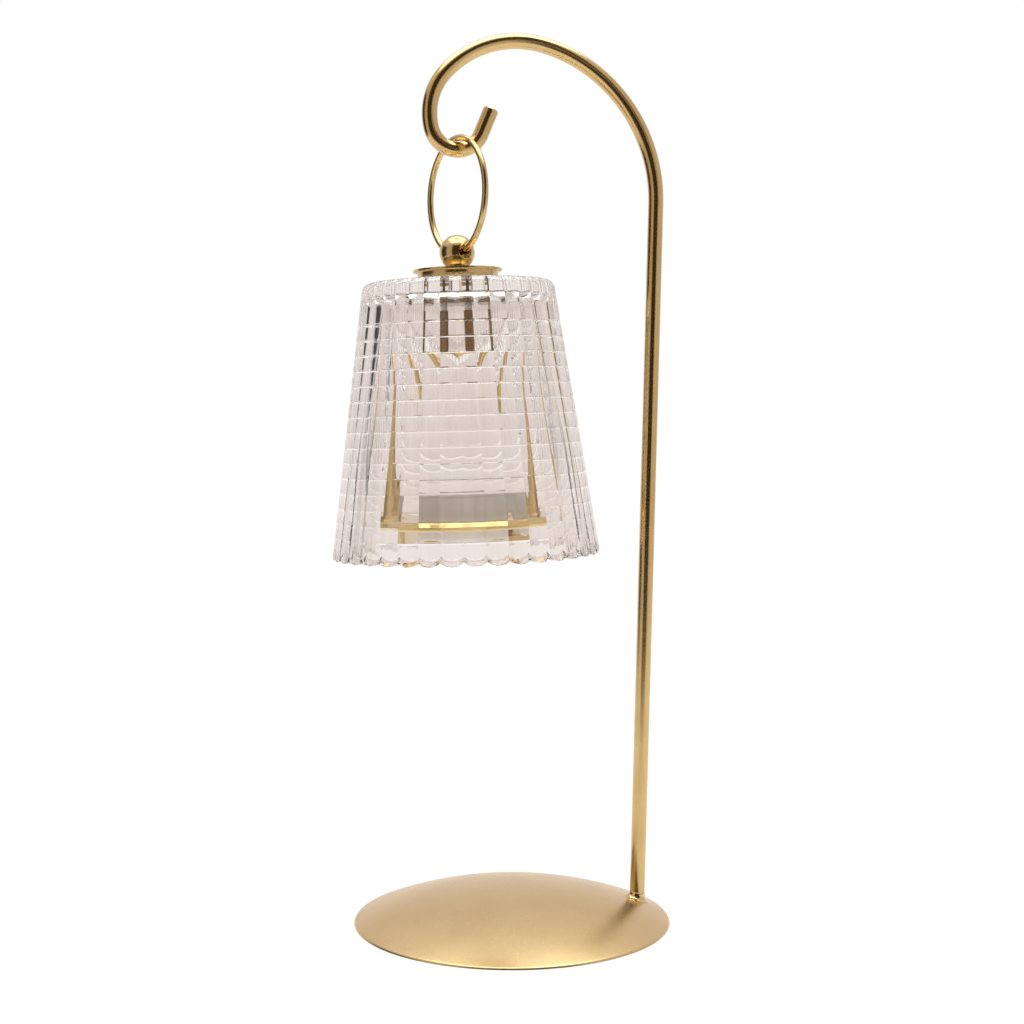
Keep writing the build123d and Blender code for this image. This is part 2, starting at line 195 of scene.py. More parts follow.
def add_node(tree, kind, settings=None, inputs=None):
    """Adds a node to a tree, sets its properties, and sets or links its inputs."""
    node = tree.nodes.new(kind)
    for name, value in (settings or {}).items():
        setattr(node, name, value)
    for name, value in (inputs or {}).items():
        if isinstance(value, bpy.types.NodeSocket):
            tree.links.new(value, node.inputs[name])
        else:
            node.inputs[name].default_value = value
    return node


def choose(piece):
    """Selects one piece alone and makes it the active one."""
    bpy.ops.object.select_all(action="DESELECT")
    piece.select_set(True)
    bpy.context.view_layer.objects.active = piece


def edit(piece):
    """Opens a piece in edit mode with all of its vertices selected."""
    choose(piece)
    bpy.ops.object.mode_set(mode="EDIT")
    bpy.ops.mesh.select_mode(type="VERT")
    bpy.ops.mesh.select_all(action="SELECT")


def close_edit():
    bpy.ops.object.mode_set(mode="OBJECT")


def outline_object(name, points):
    """A mesh of one chain of edges through points in the XZ plane, drawn by extruding a vertex."""
    bpy.ops.mesh.primitive_plane_add(size=1 * MM)
    piece = bpy.context.object
    piece.name = name
    edit(piece)
    bpy.ops.mesh.merge(type="CENTER")
    place = Vector(points[0])
    bpy.ops.transform.translate(value=place)
    for point in points[1:]:
        step = Vector(point) - place
        bpy.ops.mesh.extrude_region_move(TRANSFORM_OT_translate={"value": step})
        place = Vector(point)
    close_edit()
    return piece


def spun(name, points, steps):
    """A closed outline of (radius, height) points spun round Z."""
    chain = [(radius, 0, height) for radius, height in points + points[:1]]
    piece = outline_object(name, chain)
    edit(piece)
    bpy.ops.mesh.spin(steps=steps, angle=2 * math.pi, center=(0, 0, 0), axis=(0, 0, 1))
    bpy.ops.mesh.select_all(action="SELECT")
    bpy.ops.mesh.remove_doubles(threshold=0.2 * MICRON)
    bpy.ops.mesh.normals_make_consistent(inside=False)
    close_edit()
    return piece


def turn_about(axis, degrees):
    """Turns what is selected in edit mode; without a window the operator turns the other way."""
    bpy.ops.transform.rotate(value=-math.radians(degrees), orient_axis=axis, center_override=(0, 0, 0))


def heading(angle):
    """Unit vector in the XZ plane at an angle from +X towards +Z."""
    return Vector((math.cos(angle), 0, math.sin(angle)))


def bent_wire(name, radius, start, angle, runs, sides, chamfer=0.0):
    """Round bar in the XZ plane: its end face is extruded along each straight and spun round each bend."""
    bpy.ops.mesh.primitive_circle_add(vertices=sides, radius=radius, fill_type="NGON")
    bar = bpy.context.object
    bar.name = name
    edit(bar)
    turn_about("Y", 90 - math.degrees(angle))
    bpy.ops.transform.translate(value=start)
    place = Vector(start)
    for run in runs:
        if len(run) == 1:
            step = heading(angle) * run[0]
            bpy.ops.mesh.extrude_region_move(TRANSFORM_OT_translate={"value": step})
            place = place + step
        else:
            bend_r, bend = run
            centre = place + heading(angle + math.copysign(math.pi / 2, bend)) * bend_r
            steps = max(4, round(abs(bend) / 1.5))
            bpy.ops.mesh.spin(steps=steps, angle=math.radians(bend), center=centre, axis=(0, 1, 0))
            angle += math.radians(bend)
            place = centre + heading(angle - math.copysign(math.pi / 2, bend)) * bend_r
    if chamfer:
        step = heading(angle) * chamfer
        bpy.ops.mesh.extrude_region_move(TRANSFORM_OT_translate={"value": step})
        share = (radius - chamfer) / radius
        bpy.ops.transform.resize(value=(share, share, share), center_override=place + step)
    bpy.ops.mesh.select_all(action="SELECT")
    bpy.ops.mesh.normals_make_consistent(inside=False)
    close_edit()
    return bar


def hang(piece):
    """Tilts a piece that was modelled upright and hangs it from the ring."""
    choose(piece)
    piece.rotation_euler = (0, LANTERN_TILT, 0)
    piece.location = PIVOT
    bpy.ops.object.transform_apply(location=True, rotation=True, scale=True)


def smooth(piece, degrees):
    """Shades a piece smooth over edges that bend by less than an angle."""
    choose(piece)
    bpy.ops.object.shade_smooth_by_angle(angle=math.radians(degrees))


def arc(centre, radius, start, end, steps):
    """Points round an arc in an outline, from start to end in degrees."""
    angles = [math.radians(start + (end - start) * i / steps) for i in range(steps + 1)]
    return [(centre[0] + radius * math.cos(a), centre[1] + radius * math.sin(a)) for a in angles]


GLASS_SLOPE = (GLASS_RIM_R - GLASS_TOP_R) / (GLASS_TOP - GLASS_RIM)
WALL_LEAN = math.degrees(math.atan(GLASS_SLOPE))
WALL_ACROSS = GLASS_WALL / math.cos(math.radians(WALL_LEAN))


def glass_radius(height):
    """Radius of the shade over its ribs at a height."""
    return GLASS_TOP_R + (GLASS_TOP - height) * GLASS_SLOPE


def share_down(height, fade):
    """Runs smoothly from 0 to 1 between two shares of the way from the shade's top to its rim."""
    down = (GLASS_TOP - height) / (GLASS_TOP - GLASS_RIM)
    share = min(1.0, max(0.0, (down - fade[0]) / (fade[1] - fade[0])))
    return share * share * (3 - 2 * share)


def groove_share(height):
    """How much of the grooves' full depth is left at a height."""
    return 1 - (1 - GROOVES_LEFT) * share_down(height, GROOVES_FADE)


def glass_outline():
    """Section of the glass: top, shoulder, grooved and pillowed outside, rim, inside and hole."""
    shoulder_z = GLASS_TOP - GLASS_SHOULDER_R
    rim_z = GLASS_RIM + SCALLOP_H
    points = [(GLASS_HOLE_R, GLASS_TOP)]
    points += [(radius * MM, GLASS_TOP) for radius in range(8, 29, 4)]
    shoulder = (glass_radius(shoulder_z) - GLASS_SHOULDER_R, shoulder_z)
    points += arc(shoulder, GLASS_SHOULDER_R, 90, WALL_LEAN, 11)
    middles = [GROOVE_FIRST - number * GROOVE_PITCH for number in range(GROOVES)]
    for above, below in zip([None] + middles, middles + [None]):
        upper = shoulder_z if above is None else above - GROOVE_HALF_W
        lower = rim_z if below is None else below + GROOVE_HALF_W
        for share in (0.08, 0.25, 0.5, 0.75, 0.92):
            height = upper + (lower - upper) * share
            sunk = PILLOW * groove_share(height) * (2 * share - 1) ** 2
            points.append((glass_radius(height) - sunk, height))
        if below is None:
            continue
        for across, depth in ((1, 0), (0.2, 1), (-0.2, 1), (-1, 0)):
            height = below + across * GROOVE_HALF_W
            sunk = (PILLOW + depth * GROOVE_DEPTH) * groove_share(height)
            points.append((glass_radius(height) - sunk, height))
    points.append((glass_radius(rim_z), rim_z))
    points.append((glass_radius(GLASS_RIM) - GLASS_RIM_BREAKS[0], GLASS_RIM))
    points.append((glass_radius(GLASS_RIM) - GLASS_WALL + GLASS_RIM_BREAKS[1], GLASS_RIM))
    points.append((glass_radius(rim_z) - WALL_ACROSS, rim_z))
    cavity_top = GLASS_UNDER - GLASS_CAVITY_R
    for step in range(1, 12):
        height = rim_z + (cavity_top - rim_z) * step / 12
        points.append((glass_radius(height) - WALL_ACROSS, height))
    corner = (glass_radius(cavity_top) - WALL_ACROSS - GLASS_CAVITY_R, cavity_top)
    points += arc(corner, GLASS_CAVITY_R, WALL_LEAN, 90, 11)
    points += [(radius * MM, GLASS_UNDER) for radius in range(20, 7, -4)]
    points.append((GLASS_HOLE_R, GLASS_UNDER))
    return points


def flute_depth(across, height):
    """How far a rounded flute sinks in at a share of its half width from its crest."""
    depth = TOP_RIB_DEPTH + (RIM_RIB_DEPTH - TOP_RIB_DEPTH) * share_down(height, RIBS_FADE)
    half_width = math.pi * glass_radius(height) / RIBS
    curve = (half_width**2 + depth**2) / (2 * depth)
    return curve - math.sqrt(curve**2 - (across * half_width) ** 2)


def scallop_rise(across):
    """How far the rim rises at a share of a flute's half width from its crest."""
    rise = 1 - math.sqrt(1 - (SCALLOP_ROUND * across) ** 2)
    return SCALLOP_H * rise / (1 - math.sqrt(1 - SCALLOP_ROUND**2))


def make_glass(material):
    """Shade spun from its section; then the outside is fluted and the rim scalloped."""
    piece = spun("fluted_shade", glass_outline(), RIBS * RIB_STEPS)
    edit(piece)
    mesh = bmesh.from_edit_mesh(piece.data)
    rib_angle = 2 * math.pi / RIBS
    for vertex in mesh.verts:
        co = vertex.co
        radius = math.hypot(co.x, co.y)
        turn = (math.atan2(co.y, co.x) / rib_angle) % 1
        across = 2 * min(turn, 1 - turn)
        sunk = flute_depth(across, co.z)
        if radius > glass_radius(co.z) - WALL_ACROSS + RIB_ZONE and co.z < GLASS_TOP - 0.2 * MM:
            co.x *= 1 - sunk / radius
            co.y *= 1 - sunk / radius
        if co.z < GLASS_RIM + SCALLOP_H + 0.1 * MM:
            co.z += scallop_rise(across)
    bmesh.update_edit_mesh(piece.data)
    turn_about("Z", RIB_TURN)
    close_edit()
    finish_piece(piece, "lantern", ["glass_shade"], material, GLASS_SMOOTH, hung=True)


def dome_height(radius):
    """Height of the base's upper surface at a distance from its middle."""
    return EDGE_H + DOME_RISE - SPHERE_R + math.sqrt(SPHERE_R**2 - radius**2)


def under_dome(radius):
    """Height of the sheet's underside at a distance from the middle."""
    return EDGE_H + DOME_RISE - SPHERE_R + math.sqrt((SPHERE_R - SHEET) ** 2 - radius**2)


def finish_piece(piece, body, nodes, material, degrees=40, hung=False):
    """Smooths a piece, gives it its material, attaches it to the body that carries it, and hides the CAD
    nodes that it stands in for.
    """
    smooth(piece, degrees)
    if hung:
        hang(piece)
    piece.data.materials.clear()
    piece.data.materials.append(material)
    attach(piece, body)
    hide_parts(*nodes)


def make_base(material):
    """Pressed dome, spun from its section: outside, rounded edge, ground foot and hollow underside."""
    outer = [(radius * MM, dome_height(radius * MM)) for radius in [*range(0, 54, 2), 53.2, 53.9]]
    outer += arc((BASE_R - EDGE_INSET, -EDGE_DROP), EDGE_R, 68, 12, 10)
    foot_r = next(r * MM / 20 for r in range(1100, 1000, -1) if under_dome(r * MM / 20) > 0)
    inner = [(BASE_R - 0.05 * MM, 0.0), (foot_r, 0.0)]
    inner += [(radius * MM, under_dome(radius * MM)) for radius in range(52, -1, -4)]
    base = spun("domed_base", outer + inner, 180)
    finish_piece(base, "stand", ["base_dome"], material, 30)


def make_rod(material):
    """The stem, the crook and the hook, in one bent bar."""
    foot_z = under_dome(FOOT_X)
    start = (FOOT_X + foot_z * math.tan(STEM_LEAN), 0, foot_z)
    length = (STEM_TOP - foot_z) / math.cos(STEM_LEAN)
    runs = [(length,)] + [(radius * MM, turn) for radius, turn in CROOK_TURNS] + [(TIP_L - TIP_CHAMFER,)]
    rod = bent_wire("crook_bar", ROD_R, start, math.pi / 2 - STEM_LEAN, runs, 48, TIP_CHAMFER)
    finish_piece(rod, "stand", ["crook_rod"], material)


def make_braze(material):
    """Collar of braze that flares from the stem into the sloping dome, with two beads in front of it."""
    foot_z = dome_height(FOOT_X)
    outline = [(ROD_R - 0.1 * MM, BRAZE_TOP * MM)]
    outline += [(ROD_R + out * MM, up * MM) for out, up in BRAZE_FLARE]
    outline += [(ROD_R + 1.6 * MM, -BRAZE_SINK * MM), (ROD_R - 0.1 * MM, -BRAZE_SINK * MM)]
    collar = spun("foot_collar", outline, 72)
    edit(collar)
    slope = math.tan(math.asin(FOOT_X / SPHERE_R))
    mesh = bmesh.from_edit_mesh(collar.data)
    full, none = (height * MM for height in SADDLE_FADE)
    for vertex in mesh.verts:
        share = min(1.0, max(0.0, (none - vertex.co.z) / (none - full)))
        vertex.co.z -= vertex.co.x * slope * share
        vertex.co.x += vertex.co.z * math.tan(STEM_LEAN)
    bmesh.update_edit_mesh(collar.data)
    bpy.ops.transform.translate(value=(FOOT_X + foot_z * math.tan(STEM_LEAN), 0, foot_z))
    for sideways, away, size in BRAZE_BEADS:
        spot = Vector((FOOT_X, 0, 0)) + in_view(sideways * MM, away * MM, 0)
        height = dome_height(math.hypot(spot.x, spot.y)) + BEAD_LIFT * size * MM
        bpy.ops.mesh.primitive_uv_sphere_add(
            segments=24, ring_count=16, radius=size * MM, location=(spot.x, spot.y, height)
        )
    close_edit()
    finish_piece(collar, "stand", ["foot_braze"], material, 60)


def make_ring(material):
    """Closed ring of round wire, hung on the hook's rod with a little slack."""
    hook = JOINTS["ring_swing"]["pos_m"]
    centre_z = hook[2] + ROD_R + RING_SLACK - (RING_R - RING_WIRE_R)
    sides = 28
    section = arc((RING_R, 0), RING_WIRE_R, 0, 360 * (sides - 1) / sides, sides - 1)
    ring = spun("hanging_loop", section, 192)
    edit(ring)
    turn_about("Y", 90)
    turn_about("Z", RING_TURN)
    bpy.ops.transform.translate(value=(hook[0], 0, centre_z))
    close_edit()
    finish_piece(ring, "ring", ["hanging_ring"], material, 60)


def make_ball(material):
    """Ball spun round its bore, with softly broken mouths and a flat seat."""
    mouth = math.degrees(math.asin((BORE_R + BORE_BREAK) / BALL_R))
    outline = arc((0, 0), BALL_R, 90 - mouth, mouth - 90, 40)
    half = BALL_R * math.cos(math.radians(mouth))
    outline += [(BORE_R + 0.2 * MM, -half + 0.08 * MM), (BORE_R, -half + 0.35 * MM)]
    outline += [(BORE_R, half - 0.35 * MM), (BORE_R + 0.2 * MM, half - 0.08 * MM)]
    ball = spun("bored_ball", outline, 96)
    edit(ball)
    turn_about("X", 90)
    turn_about("Z", RING_TURN)
    bpy.ops.mesh.bisect(plane_co=(0, 0, CAP_TOP), plane_no=(0, 0, 1), use_fill=True, clear_inner=True)
    close_edit()
    finish_piece(ball, "lantern", ["drilled_ball"], material, 35, hung=True)


def round_piece(name, points, node, material, steps=96, body="lantern"):
    """A piece of the lantern that is spun from its section, in millimetres from the ball's middle."""
    piece = spun(name, [(radius * MM, height * MM) for radius, height in points], steps)
    finish_piece(piece, body, [node], material, 35, hung=True)


def make_cap(gold, plastic):
    """Thin cap disc on its boss, and the clear grommet under it with its collar in the glass's hole."""
    cap = [(1.62, -5.6), (4, -5.6), (8, -5.6), (12, -5.6)]
    cap += [(14.85, -5.6), (15.1, -5.7), (15.2, -5.95), (15.2, -6.3), (15.08, -6.5), (14.85, -6.6)]
    cap += [(13.85, -6.6), (13.7, -6.7), (13.7, -8.85), (13.6, -9.0), (8, -9.0), (1.62, -9.0)]
    round_piece("cap_and_boss", cap, "cap_disc", gold, 144)
    grommet = [(1.62, -9.0), (12.7, -9.0), (13.0, -9.2), (13.0, -9.8), (12.8, -10.0), (4.8, -10.0)]
    grommet += [(4.8, -13.5), (1.62, -13.5)]
    round_piece("clear_grommet", grommet, "cap_grommet", plastic)


def make_stem(brass, plastic):
    """Stud, gasket, washer and drop tube down the middle of the shade."""
    stud = [(0, STUD_TOP)]
    height = STUD_TOP
    while height > STUD_FOOT:
        stud += [(STUD_R, height), (STUD_R, height - 0.12), (THREAD_ROOT_R, height - 0.31)]
        height -= THREAD_PITCH
    stud += [(THREAD_ROOT_R, STUD_FOOT), (0, STUD_FOOT)]
    round_piece("threaded_rod", stud, "threaded_stud", brass, 32)
    gasket = [(5.0, -15.0), (11.5, -15.0), (11.5, -15.8), (5.0, -15.8)]
    round_piece("soft_gasket", gasket, "inner_gasket", plastic)
    washer = [(1.62, -15.8), (11.8, -15.8), (12.0, -16.0), (12.0, -16.8), (11.8, -17.0), (1.62, -17.0)]
    round_piece("clamp_washer", washer, "inner_washer", brass)
    tube = [(1.53, -19.4), (3.6, -19.4), (3.75, -19.55), (3.75, -32.6), (3.4, -33.0), (0, -33.0)]
    tube += [(0, -27.4), (1.53, -27.4)]
    round_piece("drop_pipe", tube, "drop_tube", brass)


def make_bail(gold, braze):
    """Wire arch with a flat top and splayed legs, soldered to the plate."""
    drop = BAIL_TOP - PLATE_TOP
    leg_angle = math.atan2(drop, BAIL_FOOT_X - BAIL_HALF_TOP)
    trim = BAIL_CORNER_R * math.tan(leg_angle / 2)
    leg = math.hypot(drop, BAIL_FOOT_X - BAIL_HALF_TOP) - trim
    corner = (BAIL_CORNER_R, -math.degrees(leg_angle))
    runs = [(leg,), corner, (2 * (BAIL_HALF_TOP - trim),), corner, (leg,)]
    wire = bent_wire("bail_arch", BAIL_WIRE_R, (-BAIL_FOOT_X, 0, PLATE_TOP), leg_angle, runs, 28)
    finish_piece(wire, "lantern", ["bail_wire"], gold, 40, hung=True)
    outline = [(1.0, 1.75), (1.3, 1.7), (1.5, 1.3), (1.65, 0.7), (1.85, 0.15), (1.95, 0.0), (1.0, 0.0)]
    beads = spun("bail_solder", [(radius * MM, height * MM) for radius, height in outline], 36)
    edit(beads)
    bpy.ops.transform.translate(value=(-BAIL_FOOT_X, 0, PLATE_TOP))
    bpy.ops.mesh.duplicate_move(TRANSFORM_OT_translate={"value": (2 * BAIL_FOOT_X, 0, 0)})
    close_edit()
    finish_piece(beads, "lantern", ["bail_beads"], braze, 50, hung=True)


def make_plate(gold):
    """Candle plate: a flat ring whose outer edge slopes down to a rolled bead."""
    top = PLATE_TOP / MM
    plate = [(19.7, top), (24, top), (27.6, top), (28.0, top - 0.04), (28.3, top - 0.18)]
    plate += [(28.6, top - 0.5), (29.0, top - 0.98), (29.4, top - 1.46), (29.7, top - 1.82)]
    plate += [(29.9, top - 2.12), (30.0, top - 2.4), (29.9, top - 2.7), (29.6, top - 2.92)]
    plate += [(29.2, top - 3.0), (28.6, top - 2.96), (28.0, top - 2.7), (27.6, top - 2.3)]
    plate += [(27.3, top - 1.6), (27.2, top - 0.8), (19.7, top - 0.8), (19.6, top - 0.7), (19.6, top - 0.1)]
    round_piece("tealight_plate", plate, "candle_plate", gold, 120)


def make_tealight(tin, paraffin, cotton):
    """Drawn cup with a rolled rim, the wax with its raised edge, and a braided wick."""
    floor, top = CUP_FLOOR, CUP_TOP
    cup = [(0, floor), (17.3, floor), (17.9, floor + 0.12), (18.35, floor + 0.5)]
    cup += [(CUP_R, floor + 1.0), (CUP_R, top - 1.0)]
    cup += arc((CUP_R, top - 0.5), 0.5, -90, 200, 12)
    cup += [(18.15, top - 1.0), (18.15, floor + 1.1), (17.9, floor + 0.6)]
    cup += [(17.2, floor + 0.35), (0, floor + 0.35)]
    round_piece("drawn_cup", cup, "tealight_cup", tin, 120, body="tealight")
    level = top - WAX_UNDER_TOP
    fill = [(0.82, level + 0.5), (1.1, level + 0.25), (1.8, level + 0.05), (4, level), (14, level)]
    fill += [(17, level + 0.05), (17.8, level + 0.2), (18.12, level + 0.45), (18.12, floor + 1.0)]
    fill += [(17.2, floor + 0.4), (0.82, floor + 0.4)]
    round_piece("wax_fill", fill, "tealight_wax", paraffin, 96, body="tealight")
    strands = []
    for turn in range(WICK_TURNS):
        height = floor + 0.75 + turn * WICK_PITCH
        strands += [(WICK_R, height), (WICK_R - 0.08, height + WICK_PITCH / 2)]
    end = strands[-1][1]
    braid = [(0, strands[0][1])] + strands + [(0.5, end + 0.2), (0, end + 0.25)]
    round_piece("waxed_wick", braid, "wick", cotton, 20, body="tealight")


def principled(name, base, settings):
    """A Principled material with a base colour and further values, with its tree and its shader."""
    material = bpy.data.materials.new(name)
    material.use_nodes = True
    tree = material.node_tree
    shader = tree.nodes["Principled BSDF"]
    shader.inputs["Base Color"].default_value = linear(base)
    for key, value in settings.items():
        shader.inputs[key].default_value = value
    return material, tree, shader


def placed(tree, size):
    """Object coordinates in which one unit is a number of millimetres along each axis."""
    place = add_node(tree, "ShaderNodeTexCoord").outputs["Object"]
    scale = [1 / (length * MM) for length in size]
    return add_node(tree, "ShaderNodeMapping", None, {"Vector": place, "Scale": scale}).outputs[0]


def grain(tree, size, detail=2.0):
    """Noise whose grains have a size in millimetres along each axis."""
    inputs = {"Vector": placed(tree, size), "Scale": 1.0, "Detail": detail}
    return add_node(tree, "ShaderNodeTexNoise", None, inputs).outputs[0]


def spread(tree, value, low, high, start=0.3, end=0.7):
    """Maps a stretch of a value onto another range."""
    ends = {"From Min": start, "From Max": end, "To Min": low, "To Max": high}
    return add_node(tree, "ShaderNodeMapRange", None, {"Value": value, **ends}).outputs[0]


def blend(tree, share, first, second):
    """Mixes two colours."""
    inputs = {"Factor": share, 6: first, 7: second}
    return add_node(tree, "ShaderNodeMix", {"data_type": "RGBA"}, inputs).outputs[2]


def calculate(tree, operation, first, second=0.0):
    """Result of a math node."""
    return add_node(tree, "ShaderNodeMath", {"operation": operation}, {0: first, 1: second}).outputs[0]


def emboss(tree, shader, height, depth):
    """Bumps a surface by a depth in millimetres."""
    inputs = {"Height": height, "Distance": depth * MM, "Strength": 1.0}
    bump = add_node(tree, "ShaderNodeBump", None, inputs)
    tree.links.new(bump.outputs[0], shader.inputs["Normal"])


def metal(name, bright, dull, roughness, coat=0.0, clouds=(8, 8, 8), fine=0.5, depth=0.003, bare=1.0):
    """Satin metal: cloudy tone, fine grain in the polish, and a thin lacquer where it has a coat."""
    finish = {"Metallic": bare, "Coat Weight": coat, "Coat Roughness": roughness}
    material, tree, shader = principled(name, bright, finish)
    tone = blend(tree, spread(tree, grain(tree, clouds, 4.0), 0, 1), linear(bright), linear(dull))
    polish = grain(tree, (fine, fine, fine))
    tree.links.new(tone, shader.inputs["Base Color"])
    tree.links.new(spread(tree, polish, roughness - 0.03, roughness + 0.03), shader.inputs["Roughness"])
    emboss(tree, shader, polish, depth)
    return material


def base_finish():
    """Satin gold lacquer sprayed on steel: an even glow, with pin-sized dust specks under it."""
    material = metal("sprayed_satin_gold", "#E4CC97", "#DEC48D", 0.3, 0.45, (16, 16, 16), 0.6, 0.0012)
    tree = material.node_tree
    shader = tree.nodes["Principled BSDF"]
    tone = shader.inputs["Base Color"].links[0].from_socket
    inputs = {"Vector": placed(tree, (4.5, 4.5, 4.5)), "Scale": 1.0}
    cells = add_node(tree, "ShaderNodeTexVoronoi", None, inputs).outputs
    near = spread(tree, cells["Distance"], 1, 0, 0.02, 0.07)
    some = spread(tree, cells["Color"], 0, 0.4, 0.5, 0.55)
    specks = blend(tree, calculate(tree, "MULTIPLY", near, some), tone, linear("#8A6C40"))
    tree.links.new(specks, shader.inputs["Base Color"])
    return material


def clear_glass():
    """Pressed soda-lime glass: clear, fire polished, with the slow ripple that a mould leaves."""
    finish = {"Roughness": 0.0, "IOR": 1.52, "Transmission Weight": 1.0}
    material, tree, shader = principled("pressed_soda_lime_glass", "#FAF8F7", finish)
    tint = blend(tree, spread(tree, grain(tree, (14, 14, 20)), 0, 1), linear("#FBF9F8"), linear("#F6F3F0"))
    tree.links.new(tint, shader.inputs["Base Color"])
    emboss(tree, shader, grain(tree, (5, 5, 8), 1.0), 0.03)
    return material


def soft_plastic():
    """Clear soft PVC: see-through with a varying haze; the collar in the glass's hole is painted amber, a
    painted reflection of the brass seen through the glass's thick top.
    """
    finish = {"Transmission Weight": 1.0, "IOR": 1.48}
    material, tree, shader = principled("clear_soft_pvc", "#F6F4F0", finish)
    haze = grain(tree, (2, 2, 2), 3.0)
    tree.links.new(spread(tree, haze, 0.03, 0.14), shader.inputs["Roughness"])
    pale = blend(tree, haze, linear("#F8F6F2"), linear("#EFEBE4"))
    place = add_node(tree, "ShaderNodeTexCoord").outputs["Object"]
    for operation, other in (("SUBTRACT", PIVOT), ("MULTIPLY", (1, 1, 0)), ("LENGTH", (0, 0, 0))):
        step = add_node(tree, "ShaderNodeVectorMath", {"operation": operation}, {0: place, 1: other})
        place = step.outputs[0]
    # Painted reflection: the collar inside the glass's hole is amber, standing in for the brass seen
    # through the thick top
    painted_brass_image = spread(tree, step.outputs["Value"], 1, 0, GLASS_HOLE_R + 0.1 * MM, GLASS_HOLE_R + 0.5 * MM)
    tree.links.new(blend(tree, painted_brass_image, pale, linear("#A57A3E")), shader.inputs["Base Color"])
    return material


def wax():
    """Cast paraffin: white, slightly see-through, mottled where it cooled."""
    finish = {"Subsurface Weight": 0.3, "Subsurface Scale": 2 * MM}
    material, tree, shader = principled("cast_paraffin", "#F4F1EA", finish)
    mottle = grain(tree, (3, 3, 3), 4.0)
    tone = blend(tree, spread(tree, mottle, 0, 1), linear("#F6F3EC"), linear("#E9E4D9"))
    tree.links.new(tone, shader.inputs["Base Color"])
    tree.links.new(spread(tree, mottle, 0.38, 0.55), shader.inputs["Roughness"])
    emboss(tree, shader, mottle, 0.05)
    return material


def braided_cotton():
    """Waxed cotton braid: slanting strands, with painted shade darkening the gaps between them."""
    material, tree, shader = principled("waxed_cotton_braid", "#EFE9DC", {"Roughness": 0.8})
    inputs = {"Vector": placed(tree, (2, 2, 2)), "Scale": 1.0, "Distortion": 1.0}
    strands = add_node(tree, "ShaderNodeTexWave", {"bands_direction": "DIAGONAL"}, inputs).outputs["Fac"]
    # Painted shade: where the wave sinks between strands, the braid is darker
    tree.links.new(blend(tree, strands, linear("#D9CFBC"), linear("#F4EFE4")), shader.inputs["Base Color"])
    emboss(tree, shader, strands, 0.06)
    return material


def dress(node, material):
    """Gives a CAD node a material of its own in every slot."""
    piece = NODES[node]
    piece.data.materials.clear()
    piece.data.materials.append(material)
    for face in piece.data.polygons:
        face.material_index = 0


def edge(tree, angle, start, end):
    """Rises smoothly from 0 to 1 between two angles in degrees."""
    inputs = {"Value": angle, "From Min": math.radians(start), "From Max": math.radians(end)}
    return add_node(tree, "ShaderNodeMapRange", {"interpolation_type": "SMOOTHSTEP"}, inputs).outputs[0]


def band(tree, angle, ends, fade):
    """1 between two angles in degrees, fading to 0 beyond both."""
    low, high = ends
    rise = edge(tree, angle, low - fade, low + fade)
    return calculate(tree, "MULTIPLY", rise, edge(tree, angle, high + fade, high - fade))


def studio_world():
    """Pale tent with its patches; the camera itself sees plain white."""
    world = bpy.data.worlds.new("pale_tent")
    bpy.context.scene.world = world
    world.use_nodes = True
    tree = world.node_tree
    tree.nodes.clear()
    place = add_node(tree, "ShaderNodeTexCoord").outputs["Generated"]
    inputs = {"Vector": place, "Angle": CAMERA_TURN}
    turned = add_node(tree, "ShaderNodeVectorRotate", {"rotation_type": "Z_AXIS"}, inputs).outputs["Vector"]
    axes = add_node(tree, "ShaderNodeSeparateXYZ", None, {"Vector": turned}).outputs
    azimuth = calculate(tree, "ARCTAN2", axes["X"], calculate(tree, "MULTIPLY", axes["Y"], -1.0))
    climb = calculate(tree, "ARCSINE", axes["Z"])
    path = add_node(tree, "ShaderNodeLightPath").outputs
    refracted = path["Is Transmission Ray"]
    direct = calculate(tree, "SUBTRACT", 1.0, refracted)
    colour = linear(TENT)
    for name, sideways, upright, patch in PATCHES:
        across = band(tree, azimuth, sideways, SIDE_FADE)
        share = calculate(tree, "MULTIPLY", across, band(tree, climb, upright, CLIMB_FADE))
        if name.endswith("gap"):
            share = calculate(tree, "MULTIPLY", share, refracted if name == DOOR else direct)
        colour = blend(tree, share, colour, linear(patch))
    tent = add_node(tree, "ShaderNodeBackground", None, {"Color": colour}).outputs[0]
    white = add_node(tree, "ShaderNodeBackground", None, {"Color": (1, 1, 1, 1)}).outputs[0]
    both = add_node(tree, "ShaderNodeMixShader", None, {0: path["Is Camera Ray"], 1: tent, 2: white})
    add_node(tree, "ShaderNodeOutputWorld", None, {"Surface": both.outputs[0]})


def make_table():
    """White table, with its front and left edges where the rod's and the ball's reflections show them."""
    bpy.ops.mesh.primitive_plane_add(size=1)
    table = bpy.context.object
    table.name = "white_table"
    edit(table)
    bpy.ops.transform.resize(value=TABLE_SIZE, center_override=(0, 0, 0))
    bpy.ops.transform.translate(value=TABLE_PLACE)
    turn_about("Z", -math.degrees(CAMERA_TURN))
    close_edit()
    material = bpy.data.materials.new("white_table")
    material.use_nodes = True
    tree = material.node_tree
    tree.nodes.clear()
    diffuse = add_node(tree, "ShaderNodeBsdfDiffuse", None, {"Color": linear("#F4F1F0")}).outputs[0]
    inputs = {"Color": (1, 1, 1, 1), "Strength": TABLE_GLOW}
    glow = add_node(tree, "ShaderNodeEmission", None, inputs).outputs[0]
    path = add_node(tree, "ShaderNodeLightPath").outputs
    seen = calculate(tree, "MAXIMUM", path["Is Camera Ray"], path["Is Transmission Ray"])
    share = calculate(tree, "MULTIPLY", seen, TABLE_GLOW_SHARE)
    both = add_node(tree, "ShaderNodeMixShader", None, {0: share, 1: diffuse, 2: glow})
    add_node(tree, "ShaderNodeOutputMaterial", None, {"Surface": both.outputs[0]})
    table.data.materials.append(material)


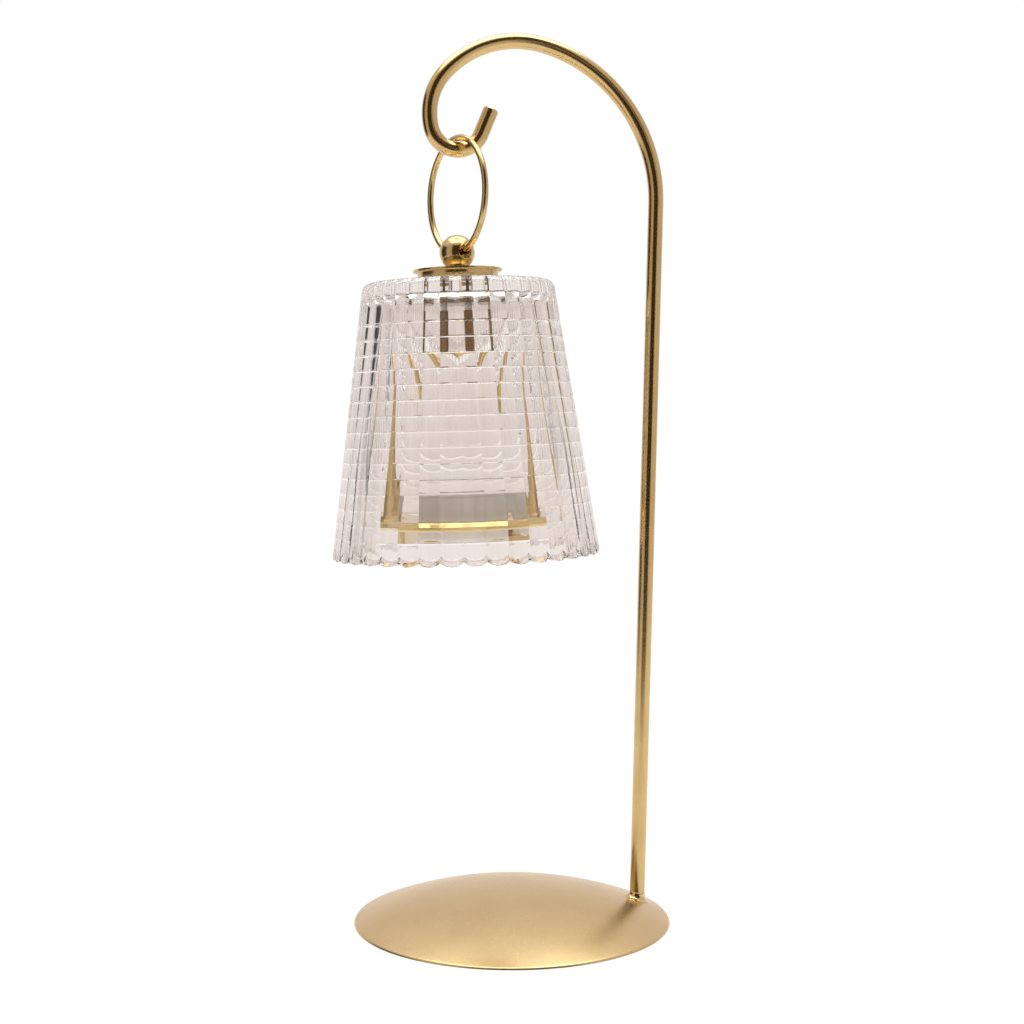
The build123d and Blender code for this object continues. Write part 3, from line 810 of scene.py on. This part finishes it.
def make_light(name, place, size, strength):
    """Softbox that faces down; strength is how bright it looks."""
    bpy.ops.object.light_add(type="AREA", location=place, rotation=(0, 0, -CAMERA_TURN))
    light = bpy.context.object
    light.name = name
    light.data.shape = "RECTANGLE"
    light.data.size, light.data.size_y = size
    light.data.energy = strength * math.pi * size[0] * size[1]


def make_camera():
    """Camera at the photograph's angle, as fitted."""
    place = in_view(0, -CAMERA_DISTANCE, CAMERA_HEIGHT)
    bpy.ops.object.camera_add(location=place, rotation=(math.pi / 2 - CAMERA_PITCH, 0, -CAMERA_TURN))
    camera = bpy.context.object
    camera.data.lens = LENS
    camera.data.sensor_width = SENSOR_W
    bpy.context.scene.camera = camera


make_camera()
studio_world()
make_table()
make_light("overhead_softbox", in_view(*SOFTBOX_PLACE), SOFTBOX_SIZE, SOFTBOX_GLOW)

# Soft gold sheen with long dark streaks: rod, ring, ball, cap, bail and strap
rod_gold = metal("plated_satin_gold", "#DDC48A", "#D4B87E", 0.2, 0.35)
# Even satin glow that blurs the rod's reflection: base
base_gold = base_finish()
# Dull olive brown, darker than the stand's gold, seen as bars through the flutes: stud, washer and drop
# tube
inner_brass = metal("dull_dark_brass", "#94743C", "#70542A", 0.28, 0.2)
# Bright yellow band low in the shade: candle plate, a lighter copy of the stand's gold whose extra
# brightness is painted highlight
plate_gold = metal("plated_gold_with_painted_highlight", "#F2DE9E", "#E8CF88", 0.14, 0.5)
# Glossy pale bead with a sharp highlight: foot and bail
braze_gold = metal("lacquered_braze", "#EBD5A0", "#D9BC80", 0.12, 0.5, (2, 2, 2))
# Cool grey, hidden in the shade's top and in the wax: nut and wick tab
zinc = metal("zinc_plated_steel", "#CBCBC9", "#ADADAA", 0.25, 0.0, (2, 2, 2))
# Pale matt grey block with faint upright streaks: tealight's cup
aluminium = metal("drawn_aluminium", "#FBFAF8", "#E6E4E0", 0.5, 0.0, (1.5, 1.5, 25), bare=0.12)
# Sparkle, pale grey edges and bent images of what hangs inside: shade
glass = clear_glass()
# Pale line under the cap, and brown bars in the shade's thick top from the collar's painted amber: grommet
# and gasket
clear_plastic = soft_plastic()
# White, soft and a little translucent: wax
paraffin = wax()
# Cream braid: wick
cotton = braided_cotton()

make_base(base_gold)
make_rod(rod_gold)
make_braze(braze_gold)
make_ring(rod_gold)
make_ball(rod_gold)
make_cap(rod_gold, clear_plastic)
make_glass(glass)
make_stem(inner_brass, clear_plastic)
make_bail(rod_gold, braze_gold)
make_plate(plate_gold)
make_tealight(aluminium, paraffin, cotton)
dress("inner_nut", zinc)
dress("wick_tab", zinc)
dress("cradle_strap", rod_gold)

# The fluted glass bends and mirrors a ray many times before it comes out
scene = bpy.context.scene
scene.view_settings.view_transform = "Standard"
scene.cycles.max_bounces = 32
scene.cycles.transmission_bounces = 32
scene.cycles.glossy_bounces = 12
scene.cycles.use_denoising = True
